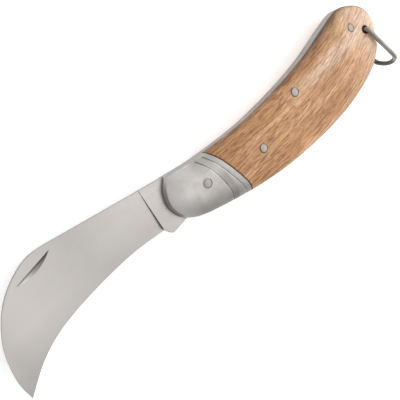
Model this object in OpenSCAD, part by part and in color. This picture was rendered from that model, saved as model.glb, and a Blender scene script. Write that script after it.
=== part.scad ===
// A hawkbill budding knife: a slip joint folder with steel bolsters, oak scales and a wire bail.
// It lies on its pile side. The origin is on the blade's pivot axis, in the plane it rests on.
// +X runs from the pivot to the butt, +Y to the back spring and +Z up out of the mark side.
// Every length is in millimetres and every angle in degrees.

/* [Blade] */
// Distance from the pivot axis to the blade's tip, along the knife
blade_reach = 85.4; // [82:0.2:89]
// Thickness of the blade and of the back spring
blade_stock = 2.5; // [2:0.1:3.2]
// Height of the hump of the blade's back above the pivot axis
hump_rise = 19.6; // [17:0.2:22]
// Drop of the tip below the pivot axis
tip_drop = 14.2; // [13:0.2:16]
// Drop of the cutting edge below the pivot axis, at its straight middle
edge_drop = 2.1; // [1.4:0.05:2.7]
// Thickness left at the ground cutting edge
edge_t = 0.2; // [0.1:0.02:0.4]
// Share of the full thickness that is left at the back of the tip
tip_thin = 0.5; // [0.3:0.05:0.9]
// Distance from the pivot axis to the line where the grind starts
ricasso_reach = 20.1; // [19.5:0.1:22]
// Length of the nail nick along its straight edge
nick_len = 16.2; // [10:0.2:20]
// Depth of the nail nick
nick_depth = 0.62; // [0.3:0.02:0.8]

/* [Pivot and spring] */
// Diameter of the pivot pin
pivot_d = 3; // [2.4:0.1:4]
// Radial running clearance of the blade on the pivot pin
pivot_clear = 0.03; // [0.01:0.01:0.1]
// Distance from the pivot axis to the two flats of the tang that the spring bears on
tang_flat = 5.9; // [5.4:0.1:6.4]
// Radius of the tang's rounded corners about the pivot axis
tang_r = 7.3; // [6.9:0.1:7.8]
// Depth of the back spring over the tang
spring_depth = 3; // [2.4:0.1:4]
// Tilt of the spring's bearing face, falling to the butt
spring_tilt = 5.5; // [4:0.5:7]
// Distance from the pivot axis to the step where the blade meets the spring's front end
stop_reach = 10.2; // [9.6:0.1:11.4]
// Angle through which the blade folds
fold_angle = 172; // [168:1:174]
// Clearance between the flat side of the blade and each liner
side_clear = 0.04; // [0.02:0.01:0.1]
// Clearance between the folded tip and the spring's tail
tip_clear = 1; // [0.6:0.1:1.6]

/* [Handle] */
// Thickness of each liner
liner_t = 0.9; // [0.6:0.1:1.4]
// Thickness of each scale and bolster, over its liner
scale_t = 4.25; // [3.6:0.05:5.5]
// Drop of the belly below the pivot axis
belly_drop = 17.9; // [16.5:0.1:20]
// Rise of the back at the butt over its height at the pivot
butt_rise = 6.3; // [4.8:0.1:7.4]
// Distance from the pivot axis to the front of the bolsters
bolster_front = 14.9; // [14:0.1:16]
// Height over the liner at which the sides of the bolsters start to round
side_h = 1.6; // [1.2:0.05:2]
// Height over the liner at which the sides of the scales start to round
round_h = 0.6; // [0.4:0.05:1]
// Lean of the handle's sides
side_lean = 19; // [5:1:22]
// Width of the rounding round the front of the bolsters
dome_w = 6.9; // [5:0.1:7.1]
// Width of the rounding where bolsters and scales meet
joint_w = 4.4; // [3:0.1:6]
// Width of the rounding round the butt
round_w = 6.3; // [4:0.1:7]
// Depth by which the scales are thinned at the butt, where the bail swings
butt_fall = 2.1; // [1.9:0.05:2.3]
// Distance from the pivot axis to the joint of bolster and scale, along the knife
joint_reach = 11; // [10:0.1:13]
// Gap in the joint of bolster and scale
joint_gap = 0.12; // [0.05:0.01:0.3]
// Width of each groove across the bolster
groove_w = 0.5; // [0.3:0.05:0.8]
// Depth of each groove across the bolster
groove_depth = 0.3; // [0.15:0.05:0.5]

/* [Rivets] */
// Diameter of the handle rivets
rivet_d = 3; // [2.4:0.1:3.4]
// Depth of a rivet's end under the face round it
rivet_sink = 0.04; // [0.02:0.01:0.1]
// Radius of the domed end of a rivet
rivet_dome_r = 7; // [5:0.5:12]
// Distance along the knife from the pivot axis to the front rivets of the scales
front_rivet_x = 25.5; // [22:0.5:30]
// Distance along the knife from the pivot axis to the spring's middle rivet
spring_rivet_x = 49.4; // [44:0.2:54]
// Distance of the end rivet behind the reach of the folded tip
end_rivet_back = 2.4; // [2.2:0.1:3.4]

/* [Bail] */
// Diameter of the bail's wire
wire_d = 1.8; // [1.4:0.1:2]
// Radial clearance of the wire in the liners and the spring's tail
wire_clear = 0.1; // [0.05:0.01:0.1]
// Diameter of the bail's hole in the scales
bail_hole_d = 3; // [2.8:0.1:3.4]
// Distance of the bail's hole behind the end rivet
bail_hole_back = 5.6; // [5.2:0.1:6.4]
// Distance from the bail's hole to the butt
butt_wall = 7.2; // [6.4:0.1:8.2]
// Distance from the bail's hole to the middle of its crosspiece
bail_reach = 19.5; // [17:0.1:22]
// Direction in which the bail hangs, from +X
bail_hang = -72; // [-95:1:0]
// Gap between the bail's leg and the faces of the thinned butt
leg_gap = 0.25; // [0.2:0.05:0.5]

/* [Hidden] */
$fn = 48;
steel = [0.72, 0.71, 0.69];
dark_steel = [0.55, 0.54, 0.52];
oak = [0.76, 0.55, 0.35];
eps = 0.01;

// Heights over the middle plane of the knife
liner_z = blade_stock / 2;
scale_z = liner_z + liner_t;
face_z = scale_z + scale_t;

// Curves: a smooth line through chosen points, with n steps from each point to the next
function catmull(a, b, c, d, t) =
    b + (c - a) * t / 2 + (2 * a - 5 * b + 4 * c - d) * t * t / 2
    + (3 * b - a - 3 * c + d) * t * t * t / 2;
function span(p, i, n) =
    let (last = len(p) - 1,
         before = i > 0 ? p[i - 1] : 2 * p[0] - p[1],
         after = i + 2 > last ? 2 * p[last] - p[last - 1] : p[i + 2])
    [for (k = [0:n - 1]) catmull(before, p[i], p[i + 1], after, k / n)];
function smooth(p, n) = concat([for (i = [0:len(p) - 2]) each span(p, i, n)], [p[len(p) - 1]]);
function lerp(a, b, t) = a + (b - a) * t;
function ease(t) = let (c = min(max(t, 0), 1)) c * c * (3 - 2 * c);
function turned(p, a) = [p.x * cos(a) - p.y * sin(a), p.x * sin(a) + p.y * cos(a)];

// Rivet places and the handle's reach follow from the folded blade
tip = [-blade_reach, -tip_drop];
tip_r = norm(tip);
front_rivet = [front_rivet_x, -belly_drop / 4];
spring_rivet = [spring_rivet_x, tang_flat / 2];
end_rivet = [tip_r + end_rivet_back, tang_flat + 0.5];
bail_hole = end_rivet + [bail_hole_back, -4.3];
handle_reach = bail_hole.x + butt_wall;

// Rim of the liners, scales and bolsters, clockwise from the corner at the spring's front end
back_y0 = tang_flat + spring_depth;
corner_back = 0.27;
front_corner = [corner_back - stop_reach, back_y0 + 1.8];
back_points = [
    front_corner,
    [0.04 * handle_reach, back_y0 - 0.45],
    [0.25 * handle_reach, back_y0 - 1.9],
    [0.45 * handle_reach, back_y0 - 1],
    [0.62 * handle_reach, back_y0 + butt_rise * 0.17],
    [0.77 * handle_reach, back_y0 + butt_rise * 0.71],
    [0.87 * handle_reach, back_y0 + butt_rise],
];
butt_points = [
    [handle_reach - 5.5, back_y0 + butt_rise - 2.5],
    [handle_reach - 1.2, back_y0 + butt_rise - 6.4],
    [handle_reach, bail_hole.y + 1.4],
    [handle_reach - 1.9, bail_hole.y - 4],
    [handle_reach - 4.8, bail_hole.y - 9.2],
];
belly_points = [
    [0.88 * handle_reach, -0.672 * belly_drop],
    [0.77 * handle_reach, -0.855 * belly_drop],
    [0.65 * handle_reach, -0.965 * belly_drop],
    [0.5 * handle_reach, -belly_drop],
    [0.32 * handle_reach, -0.95 * belly_drop],
    [0.16 * handle_reach, -0.805 * belly_drop],
    [0, -0.58 * belly_drop],
];
front_points = [
    [-0.56 * bolster_front, -7.45],
    [-0.88 * bolster_front, -3.7],
    [-bolster_front, 1.6],
    [-0.9 * bolster_front, 6.8],
    front_corner,
];
rim_steps = 4;
rim = smooth(concat(back_points, butt_points, belly_points, front_points), rim_steps);
back_line = [for (i = [0:rim_steps * len(back_points)]) rim[i]];
belly_start = rim_steps * (len(back_points) + len(butt_points) - 1);
belly_line = [for (i = [belly_start:len(rim) - 1 - rim_steps * 4]) rim[i]];
function back_y(x) = lookup(x, back_line);
function belly_y(x) = lookup(x, belly_line);

// Spokes run from the rim to a line down the middle of the handle, and fan out at both ends
stations = 18;
fan_front = -1.5;
fan_butt = handle_reach - 17;
function station(i) = lerp(fan_front, fan_butt, i / stations);
middle = [for (i = [0:stations]) let (x = station(i)) [x, (back_y(x) + belly_y(x)) / 2]];
half_rim = floor(len(rim) / 2);
butt_rim = [for (p = rim) if (p.x > fan_butt + 1) p];
front_rim = concat(
    [for (i = [half_rim:len(rim) - 2]) if (rim[i].x < fan_front - 1) rim[i]],
    [for (i = [0:half_rim]) if (rim[i].x < fan_front - 1) rim[i]]
);
function spokes(from, to) = concat(
    [for (i = [from:to]) [[station(i), back_y(station(i))], i]],
    to == stations ? [for (p = butt_rim) [p, to]] : [],
    [for (i = [to:-1:from]) [[station(i), belly_y(station(i))], i]],
    from == 0 ? [for (p = front_rim) [p, 0]] : []
);
outline = [for (s = spokes(0, stations)) s[0]];

// Height of the handle's face over the liner: flat, and eased down where the bail swings
fall_end = end_rivet.x + 1;
fall_start = fall_end - 12;
function face_h(x) = scale_t - butt_fall * ease((x - fall_start) / (fall_end - fall_start));

// The rounding is a part of an ellipse. On the bolsters it starts late, so that an edge is left round
// the dome. From there it eases to the scales, where it starts almost upright and lower down.
joint_end = joint_reach + 5;
function past_joint(x, run) = ease((x - joint_end) / run);
function rounding(x) = x < joint_end
    ? lerp(dome_w, joint_w, ease(x / joint_end))
    : lerp(joint_w, round_w, past_joint(x, handle_reach * 0.6));
function side(x) = lerp(side_h, round_h, past_joint(x, front_rivet_x));
function start_angle(x) = lerp(45, 10, past_joint(x, front_rivet_x));

// One ring of the domed body for each step of the rounding, then two across the face
round_steps = 5;
across = [0.35, 0.7];
rings = round_steps + 2 + len(across);
function ring_point(s, k) =
    let (p = s[0],
         m = middle[s[1]],
         in = (m - p) / norm(m - p),
         start = start_angle(p.x),
         a = lerp(start, 90, min(k - 1, round_steps) / round_steps),
         edge = side(p.x) * tan(side_lean) + rounding(p.x) * (1 - cos(a) / cos(start)),
         f = k > round_steps + 1 ? across[k - round_steps - 2] : 0,
         q = k == 0 ? p : p + in * lerp(edge, norm(m - p), f),
         rise = (sin(a) - sin(start)) / (1 - sin(start)))
    [q.x, q.y, k == 0 ? 0 : lerp(side(p.x), face_h(q.x), rise)];

// The domed body that bolster and scale are cut from, standing on the liner's face. It reaches from
// one station to another, and round the front or the butt where it starts or ends there.
module domed_body(from, to) {
    spoke = spokes(from, to);
    n = len(spoke);
    top = rings * n - from;
    points = concat(
        [for (k = [0:rings - 1]) for (s = spoke) ring_point(s, k)],
        [for (i = [from:to]) [middle[i].x, middle[i].y, face_h(middle[i].x)]]
    );
    ends = concat(to < stations ? [to - from] : [], from > 0 ? [n - 1] : []);
    sides = [for (i = [0:n - 1]) if (len(search(i, ends)) == 0) i];
    faces = concat(
        [[for (i = [n - 1:-1:0]) i]],
        [for (k = [0:rings - 2]) for (i = sides)
            let (j = (i + 1) % n, low = k * n, high = (k + 1) * n)
            each [[low + i, low + j, high + j], [low + i, high + j, high + i]]],
        [for (i = sides)
            let (j = (i + 1) % n, low = (rings - 1) * n, a = spoke[i][1], b = spoke[j][1])
            each a == b
                ? [[low + i, low + j, top + b]]
                : [[low + i, low + j, top + b], [low + i, top + b, top + a]]],
        [for (i = ends)
            let (j = (i + 1) % n)
            concat([for (k = [0:rings - 1]) k * n + j], [top + spoke[i][1]],
                   [for (k = [rings - 1:-1:0]) k * n + i])]
    );
    polyhedron(points, faces, convexity = 4);
}

// The joint of bolster and scale is an arc, and the bolster's two grooves run beside it. Each arc is
// given by its reach at the height arc_y, its tilt there and its radius. The grooves run out where
// the sides of the handle start.
arc_y = -3;
joint_arc = [joint_reach, 17, 70];
groove_arcs = [[joint_reach - 2.2, 17, 68], [joint_reach - 5.8, 9, 33]];
joint_from = floor((joint_reach - 5 - fan_front) / (station(1) - station(0)));
joint_to = ceil((joint_reach + 4 - fan_front) / (station(1) - station(0)));
module arc_disc(arc, grow, base) {
    translate([arc[0] - arc[2] * cos(arc[1]), arc_y - arc[2] * sin(arc[1]), base])
        cylinder(r = arc[2] + grow, h = scale_t + 1 - base, $fn = 240);
}
module bore(at, d) {
    translate([at.x, at.y, -1])
        cylinder(d = d, h = scale_t + 2);
}

module bolster() {
    difference() {
        intersection() {
            domed_body(0, joint_to);
            arc_disc(joint_arc, 0, -1);
        }
        bore([0, 0], pivot_d);
        for (arc = groove_arcs)
            difference() {
                arc_disc(arc, groove_w / 2, side_h);
                arc_disc(arc, -groove_w / 2, side_h - 1);
                translate([0, 0, -groove_depth])
                    domed_body(0, joint_to);
            }
    }
}

module scale_body() {
    difference() {
        domed_body(joint_from, stations);
        arc_disc(joint_arc, joint_gap, -1);
        bore(front_rivet, rivet_d);
        bore(spring_rivet, rivet_d);
        bore(end_rivet, rivet_d);
        bore(bail_hole, bail_hole_d);
    }
}

module liner() {
    difference() {
        linear_extrude(liner_t)
            polygon(outline);
        bore([0, 0], pivot_d);
        bore(front_rivet, rivet_d);
        bore(spring_rivet, rivet_d);
        bore(end_rivet, rivet_d);
        bore(bail_hole, wire_d + 2 * wire_clear);
    }
}

module mark_side(z) {
    translate([0, 0, face_z + z])
        children();
}
module pile_side(z) {
    translate([0, 0, face_z - z])
        mirror([0, 0, 1])
            children();
}

module mark_liner() { color(dark_steel) mark_side(liner_z) liner(); }
module pile_liner() { color(dark_steel) pile_side(liner_z) liner(); }
module mark_bolster() { color(steel) mark_side(scale_z) bolster(); }
module pile_bolster() { color(steel) pile_side(scale_z) bolster(); }
module mark_scale() { color(oak) mark_side(scale_z) scale_body(); }
module pile_scale() { color(oak) pile_side(scale_z) scale_body(); }

// The tang: two flats for the spring, and an end flat that holds the blade half open
function flat_y(x, normal) = (tang_flat - x * cos(normal)) / sin(normal);
open_normal = 90 - spring_tilt;
closed_normal = open_normal - fold_angle;
function bear_y(x) = flat_y(x, open_normal);
function closed_y(x) = flat_y(x, closed_normal);
half_normal = (open_normal + closed_normal) / 2;
half_flat = tang_flat + 0.35;
module tang() {
    intersection() {
        circle(r = tang_r, $fn = 96);
        polygon([
            [-eps, bear_y(0)],
            [-eps, closed_y(0)],
            [tang_r, closed_y(tang_r)],
            [tang_r, bear_y(tang_r)],
        ]);
        rotate(half_normal)
            translate([half_flat - 3 * tang_r, -2 * tang_r])
                square([3 * tang_r, 4 * tang_r]);
    }
}

// The kick under the ricasso, which rests on the spring when the blade is folded
kick_r = 0.8;
kick = [-ricasso_reach + 1.9, -tang_flat + 0.6];
notch = [-ricasso_reach - 0.45, -edge_drop - 0.75];
shoulder_y = back_y(-stop_reach);
spine_slope = 0.193;
function spine_y(x) = shoulder_y - spine_slope * (x + stop_reach);
plunge_top = [-ricasso_reach + 0.5, spine_y(-ricasso_reach + 0.5)];
module ricasso() {
    polygon([
        [0, bear_y(0)],
        [-stop_reach, bear_y(-stop_reach)],
        [-stop_reach, shoulder_y],
        plunge_top,
        notch,
        kick + kick_r * [cos(200), sin(200)],
        for (a = [215:15:275]) kick + kick_r * [cos(a), sin(a)],
        kick + [1.8, -kick_r * 0.85],
        [-stop_reach - 1.6, closed_y(-stop_reach) + 0.9],
        [-tang_r, closed_y(-tang_r) + 0.15],
        [-tang_r + 2, closed_y(-tang_r + 2)],
        [0, closed_y(0)],
    ]);
}

// Sections of the ground blade, paired from the back to the edge. Each row holds the shares, from
// the grind's start to the tip, of the back's reach, the back's rise, the edge's reach and its drop.
ground = blade_reach - ricasso_reach;
sections = [
    [0.52, 0.013, 0.475, 0.035],
    [0.61, 0.0, 0.6, 0.1],
    [0.7, 0.045, 0.705, 0.2],
    [0.795, 0.14, 0.795, 0.35],
    [0.88, 0.287, 0.87, 0.54],
    [0.957, 0.51, 0.93, 0.74],
    [1, 0.79, 0.972, 0.895],
];
spine_points = concat(
    [for (f = [0, 0.13, 0.27, 0.41])
        let (x = lerp(plunge_top.x, tip.x, f)) [x, spine_y(x)]],
    [for (s = sections)
        [-ricasso_reach - ground * s[0], hump_rise - (hump_rise + tip_drop) * s[1]]],
    [tip + [0, 0.12]]
);
edge_points = concat(
    [notch + [-0.1, -0.6], [notch.x - 5.5, -edge_drop - 0.7], [notch.x - 13, -edge_drop],
     [notch.x - 22, -edge_drop]],
    [for (s = sections)
        [-ricasso_reach - ground * s[2], -edge_drop - (tip_drop - edge_drop) * s[3]]],
    [tip]
);

// The ground faces are ruled from the back to the edge and thin towards the tip
spine_loss = 0.03;
ground_steps = 3;
module ground_blade() {
    spine = smooth(spine_points, ground_steps);
    edge = smooth(edge_points, ground_steps);
    n = len(spine);
    lead = [0.4, 0];
    points = [for (i = [0:n - 1])
        let (t = lerp(plate_t / 2 - spine_loss, plate_t / 2 * tip_thin, ease((i / (n - 1) - 0.4) / 0.6)),
             s = i == 0 ? spine[0] + lead : spine[i],
             e = i == 0 ? edge[0] + lead : edge[i])
        each [[s.x, s.y, t], [e.x, e.y, edge_t / 2], [e.x, e.y, -edge_t / 2], [s.x, s.y, -t]]];
    faces = concat(
        [[3, 2, 1, 0]],
        [for (i = [0:n - 2]) for (k = [0:3]) let (a = 4 * i + k, b = 4 * i + (k + 1) % 4)
            each [[a, b, b + 4], [a, b + 4, a + 4]]],
        [[for (k = [0:3]) 4 * (n - 1) + k]]
    );
    polyhedron(points, faces, convexity = 4);
}

// A tilted disc cuts the nail nick: its flat side leaves the straight wall, its rim the slope
nick_from = [-ricasso_reach - ground * 0.507, spine_y(-ricasso_reach - ground * 0.507) - 1.75];
nick_turn = -8.3;
nick_tilt = 13;
nick_disc_r = (nick_len * nick_len / 4 + nick_depth * nick_depth) / (2 * nick_depth);
module nick_cutter() {
    translate([nick_from.x, nick_from.y, plate_t / 2 - 0.1])
        rotate(-nick_turn + 180)
            translate([nick_len / 2, 0, 0])
                rotate([90 + nick_tilt, 0, 0])
                    translate([0, nick_disc_r - nick_depth, -6])
                        cylinder(r = nick_disc_r, h = 6, $fn = 200);
}

plate_t = blade_stock - 2 * side_clear;
module blade() {
    color(steel)
        translate([0, 0, face_z])
            difference() {
                union() {
                    translate([0, 0, -plate_t / 2])
                        linear_extrude(plate_t)
                            union() {
                                tang();
                                ricasso();
                            }
                    ground_blade();
                }
                cylinder(d = pivot_d + 2 * pivot_clear, h = 2 * blade_stock, center = true);
                nick_cutter();
            }
}

// The spring bears on the tang, seats the kick, and ends in a tail that fills the butt
kick_folded = turned(kick, fold_angle);
seat_up = [sin(spring_tilt), cos(spring_tilt)];
seat_along = [cos(spring_tilt), -sin(spring_tilt)];
seat = kick_folded + kick_r * seat_up;
boss_r = rivet_d / 2 + 1.9;
tail_r = tip_r + tip_clear;
tail_wall = 1.3;
tail_ledge = end_rivet.y - rivet_d / 2 - tail_wall;
tail_front = end_rivet.x - rivet_d / 2 - 2.4;
tail_drop = 6.5;
tail_foot = bail_hole.y - tail_drop;
tail_run = 3;
tail_fall = 2.6;
boss_run = 9;
boss_lead = 11;
boss_fall = 1.4;
seat_half = 3.4;
function under(x, more) = [x, back_y(x) - spring_depth - more];
under_points = [
    [tail_front, tail_ledge],
    under(tail_front, tail_fall) - [tail_run / 10, 0],
    under(tail_front - tail_run, boss_fall),
    under(0.72 * handle_reach, boss_fall * 0.7),
    under(spring_rivet.x + boss_run, boss_fall),
    [spring_rivet.x, spring_rivet.y - boss_r],
    [spring_rivet.x - boss_lead, seat.y - boss_fall],
    seat + seat_half * seat_along,
];
module backspring() {
    top = [for (i = [0:stations]) if (station(i) > -stop_reach) [station(i), back_y(station(i))]];
    color(dark_steel)
        translate([0, 0, face_z - blade_stock / 2])
            difference() {
                linear_extrude(blade_stock)
                    union() {
                        polygon(concat(
                            [[-stop_reach, bear_y(-stop_reach)], [-stop_reach, back_y(-stop_reach)]],
                            [for (i = [0:half_rim]) if (rim[i].x < fan_front - 1
                                && rim[i].x > -stop_reach) rim[i]],
                            top,
                            [[tail_front + tail_run, tail_ledge + tail_run]],
                            smooth(under_points, 3),
                            [seat - seat_half * seat_along, [tang_r + 1, bear_y(tang_r + 1)]]
                        ));
                        difference() {
                            polygon(concat(
                                [[tail_front, tail_ledge],
                                 [tail_front + tail_run / 2, tail_ledge + tail_run],
                                 [fan_butt, back_y(fan_butt)]],
                                [for (p = rim) if (p.x > fan_butt + 1 && p.y > tail_foot) p],
                                [[handle_reach - 8, tail_foot], [tail_r * 0.99, tail_foot],
                                 [tail_r * 0.99, tail_ledge]]
                            ));
                            intersection() {
                                circle(r = tail_r, $fn = 360);
                                translate([0, tail_ledge - handle_reach])
                                    square(handle_reach);
                            }
                        }
                    }
                translate([spring_rivet.x, spring_rivet.y, -1])
                    cylinder(d = rivet_d, h = blade_stock + 2);
                translate([end_rivet.x, end_rivet.y, -1])
                    cylinder(d = rivet_d, h = blade_stock + 2);
                translate([bail_hole.x, bail_hole.y, -1])
                    cylinder(d = wire_d + 2 * wire_clear, h = blade_stock + 2);
            }
}

// A rivet from one height to another over the middle plane, with a domed end where it shows
module rivet(at, d, low, high, low_domed, high_domed) {
    translate([at.x, at.y, face_z])
        intersection() {
            translate([0, 0, low])
                cylinder(d = d, h = high - low);
            if (high_domed)
                translate([0, 0, high - rivet_dome_r])
                    sphere(r = rivet_dome_r, $fn = 96);
            if (low_domed)
                translate([0, 0, low + rivet_dome_r])
                    sphere(r = rivet_dome_r, $fn = 96);
        }
}
function rivet_end(at) = scale_z + face_h(at.x) - rivet_sink;
module pivot_pin() { color(steel) rivet([0, 0], pivot_d, -face_z, face_z - rivet_sink, false, true); }
module spring_rivet() {
    color(steel)
        rivet(spring_rivet, rivet_d, -rivet_end(spring_rivet), rivet_end(spring_rivet), true, true);
}
module end_rivet() {
    color(steel)
        rivet(end_rivet, rivet_d, -rivet_end(end_rivet), rivet_end(end_rivet), true, true);
}
module mark_front_rivet() {
    color(steel)
        rivet(front_rivet, rivet_d, liner_z, rivet_end(front_rivet), false, true);
}
module pile_front_rivet() {
    color(steel)
        rivet(front_rivet, rivet_d, -rivet_end(front_rivet), -liner_z, true, false);
}

// The bail: a wire loop whose two ends turn in at the hole from either side
leg_z = scale_z + face_h(handle_reach) + leg_gap + wire_d / 2;
bend_r = 0.75 * wire_d;
cross_sin = 0.6;
cross_cos = 0.8;
cross_turn = asin(cross_sin);
arcs_apart = 5;
corner_r = leg_z - arcs_apart * cross_sin;
cross_r = corner_r + arcs_apart;
corner_at = bail_reach - cross_r + arcs_apart * cross_cos;
end_gap = 0.5;
module wire(from, to) {
    v = to - from;
    translate(from)
        rotate([0, atan2(v.x, v.z), 0])
            cylinder(d = wire_d, h = norm(v));
}
module bend(centre, r, start, turn) {
    translate(centre)
        rotate([90, 0, 0])
            rotate([0, 0, start])
                rotate_extrude(angle = turn)
                    translate([r, 0])
                        circle(d = wire_d);
}
module half_bail() {
    wire([0, 0, end_gap / 2], [0, 0, leg_z - bend_r]);
    bend([bend_r, 0, leg_z - bend_r], bend_r, 90, 90);
    wire([bend_r, 0, leg_z], [corner_at, 0, leg_z]);
    bend([corner_at, 0, leg_z - corner_r], corner_r, cross_turn, 90 - cross_turn);
}
module bail() {
    color(steel)
        translate([bail_hole.x, bail_hole.y, face_z])
            rotate(bail_hang) {
                half_bail();
                mirror([0, 0, 1])
                    half_bail();
                bend([bail_reach - cross_r, 0, 0], cross_r, -cross_turn, 2 * cross_turn);
            }
}

blade();
backspring();
mark_liner();
pile_liner();
mark_bolster();
pile_bolster();
mark_scale();
pile_scale();
pivot_pin();
spring_rivet();
end_rivet();
mark_front_rivet();
pile_front_rivet();
bail();
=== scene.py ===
"""A hawkbill budding knife on a pale floor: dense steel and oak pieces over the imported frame."""
import math

import bmesh
import bpy
import numpy as np
from mathutils import Matrix, Vector


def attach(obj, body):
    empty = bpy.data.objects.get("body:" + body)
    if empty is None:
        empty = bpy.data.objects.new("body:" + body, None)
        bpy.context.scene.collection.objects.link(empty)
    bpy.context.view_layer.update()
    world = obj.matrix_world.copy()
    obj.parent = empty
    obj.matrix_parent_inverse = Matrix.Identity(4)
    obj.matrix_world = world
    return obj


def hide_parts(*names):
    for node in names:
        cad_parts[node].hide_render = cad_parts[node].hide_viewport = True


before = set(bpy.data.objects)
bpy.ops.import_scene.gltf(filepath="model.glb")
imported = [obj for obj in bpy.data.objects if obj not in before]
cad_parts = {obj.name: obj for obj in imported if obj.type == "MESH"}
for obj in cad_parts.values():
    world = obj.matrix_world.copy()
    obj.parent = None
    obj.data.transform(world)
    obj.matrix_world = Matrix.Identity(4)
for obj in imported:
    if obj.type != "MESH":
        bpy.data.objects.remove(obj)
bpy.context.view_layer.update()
scene = bpy.context.scene
MM = 0.001

# Camera, with the photograph's angle and mild perspective
CAMERA_AT = (-0.088379, 0.056864, 0.202827)
CAMERA_RIGHT = (0.67638, -0.56755, 0.46947)
CAMERA_UP = (0.62984, 0.77611, 0.03081)
CAMERA_BACK = (-0.38185, 0.27485, 0.88241)
camera = bpy.data.objects.new("camera", bpy.data.cameras.new("camera"))
scene.collection.objects.link(camera)
camera.data.sensor_width = 36
camera.data.lens = 58.5
camera.data.clip_start = 0.005
camera.data.clip_end = 20
camera_turn = Matrix((CAMERA_RIGHT, CAMERA_UP, CAMERA_BACK)).transposed().to_4x4()
camera.matrix_world = Matrix.Translation(CAMERA_AT) @ camera_turn
scene.camera = camera

# The handle's sizes in millimetres and degrees, as in the part's source. FACE_Z is the height of
# the mid-plane and half the handle's thickness, and LINER_Z and SCALE_Z are measured from it.
FACE_Z = 6.4
LINER_Z, SCALE_Z = 1.25, 2.15
LINER_T, SCALE_T = 0.9, 4.25
REACH = 101.773
BACK_Y0 = 8.9
BUTT_RISE, BELLY_DROP, FRONT = 6.3, 17.9, 14.9
SIDE_H, ROUND_H, SIDE_LEAN = 1.6, 0.6, 19
DOME_W, JOINT_W, ROUND_W = 6.9, 4.4, 6.3
START_STEEP, START_LOW = 45, 10
ROUND_RUN = REACH * 0.6
BUTT_FALL, FALL_START, FALL_END = 2.1, 77.973, 89.973
PIN_R, PIN_GAP, BAIL_BORE = 1.5, 0.02, 1.0
FRONT_RIVET, SPRING_RIVET, END_RIVET = (25.5, -4.475), (49.4, 2.95), (88.973, 6.4)
RIVETS = [FRONT_RIVET, SPRING_RIVET, END_RIVET]
PIVOT = (0, 0)
BAIL_HOLE = (94.573, 2.1)
JOINT_REACH, JOINT_GAP = 11, 0.12
JOINT_END = JOINT_REACH + 5
GROOVE_W, GROOVE_DEPTH = 0.5, 0.3

# Arcs on the bolster: the reach at y = ARC_Y, the slope there and the radius
ARC_Y = -3
JOINT_ARC = (JOINT_REACH, 17, 70)
GROOVE_ARCS = [(JOINT_REACH - 2.2, 17, 68), (JOINT_REACH - 5.8, 9, 33)]

# Tang and back spring. The tang has a flat for the open blade and one for the folded blade, and
# the corner between them is eased by a third one.
TANG_FLAT, TANG_R, STOP, FOLD = 5.9, 7.3, 10.2, 172
SPRING_T, SPRING_DEPTH, SPRING_TILT = 2.5, 3, 5.5
OPEN_NORMAL = 90 - SPRING_TILT
CLOSED_NORMAL = OPEN_NORMAL - FOLD
HALF_NORMAL, HALF_FLAT = (OPEN_NORMAL + CLOSED_NORMAL) / 2, TANG_FLAT + 0.35
PIVOT_CLEAR, TIP_CLEAR = 0.03, 1
# The spring's seat for the kick, and its tail: the ledge and the front measured from the end
# rivet, and the foot from the bail's hole
SEAT_HALF, LEDGE_BELOW, TAIL_AHEAD, FOOT_BELOW = 3.4, 2.8, 3.9, 6.5

# Blade
PLATE_T, EDGE_T, SPINE_LOSS, TIP_THIN = 2.42, 0.2, 0.03, 0.5
BLADE_REACH, TIP_DROP, HUMP, EDGE_DROP, RICASSO = 85.4, 14.2, 19.6, 2.1, 20.1
GROUND = BLADE_REACH - RICASSO
TIP = np.array((-BLADE_REACH, -TIP_DROP))
SPINE_SLOPE = 0.193
KICK, KICK_R = np.array((-RICASSO + 1.9, -TANG_FLAT + 0.6)), 0.8
NOTCH = np.array((-RICASSO - 0.45, -EDGE_DROP - 0.75))
PLUNGE_X = -RICASSO + 0.5
# Shares of the ground length and of the drop to the tip: two for the back and two for the edge
BLADE_ROWS = [
    (0.52, 0.013, 0.475, 0.035), (0.61, 0, 0.6, 0.1), (0.7, 0.045, 0.705, 0.2),
    (0.795, 0.14, 0.795, 0.35), (0.88, 0.287, 0.87, 0.54), (0.957, 0.51, 0.93, 0.74),
    (1, 0.79, 0.972, 0.895),
]
# The blade thins to the tip from THIN_FROM of its length on. Half the thickness of its back also
# stays under half the edge's plus WEDGE of the width, with a soft change between the two limits.
THIN_FROM, WEDGE, SOFTNESS = 0.4, 0.075, 4
NICK_LENGTH, NICK_DEPTH, NICK_TURN, NICK_TILT, NICK_SINK = 16.2, 0.72, 8.3, 107, 0.1
NICK_SHARE, NICK_BELOW = 0.507, 1.75

# How far cutting tools reach past what they cut
PAST = 1

# How far back the dome's front corners are eased, and how many more passes each ring gets
EASE_RUN, EASE_PASSES = 6, 5

# Density of the meshes
RIM_STEPS, STATIONS, DOME_RINGS, TOP_RINGS = 12, 110, 19, 9
BLADE_STEPS, BLADE_SHARES, SPRING_STEPS = 9, 9, 8
TANG_DEGREES, KICK_DEGREES = 1.5, 5
PIN_SIDES, PIVOT_SIDES, NICK_SIDES, ARC_SIDES = 48, 96, 400, 720


def catmull(a, b, c, d, t):
    square, cube = 2 * a - 5 * b + 4 * c - d, 3 * b - a - 3 * c + d
    return b + (c - a) * t / 2 + square * t * t / 2 + cube * t ** 3 / 2


def smooth(points, n):
    """A smooth line through chosen points, with n steps from each to the next."""
    p = [np.array(q, float) for q in points]
    p = [2 * p[0] - p[1]] + p + [2 * p[-1] - p[-2]]
    out = [catmull(*p[i : i + 4], k / n) for i in range(len(p) - 3) for k in range(n)]
    return np.array(out + [p[-2]])


def ease(t):
    c = np.clip(t, 0, 1)
    return c * c * (3 - 2 * c)


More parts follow.
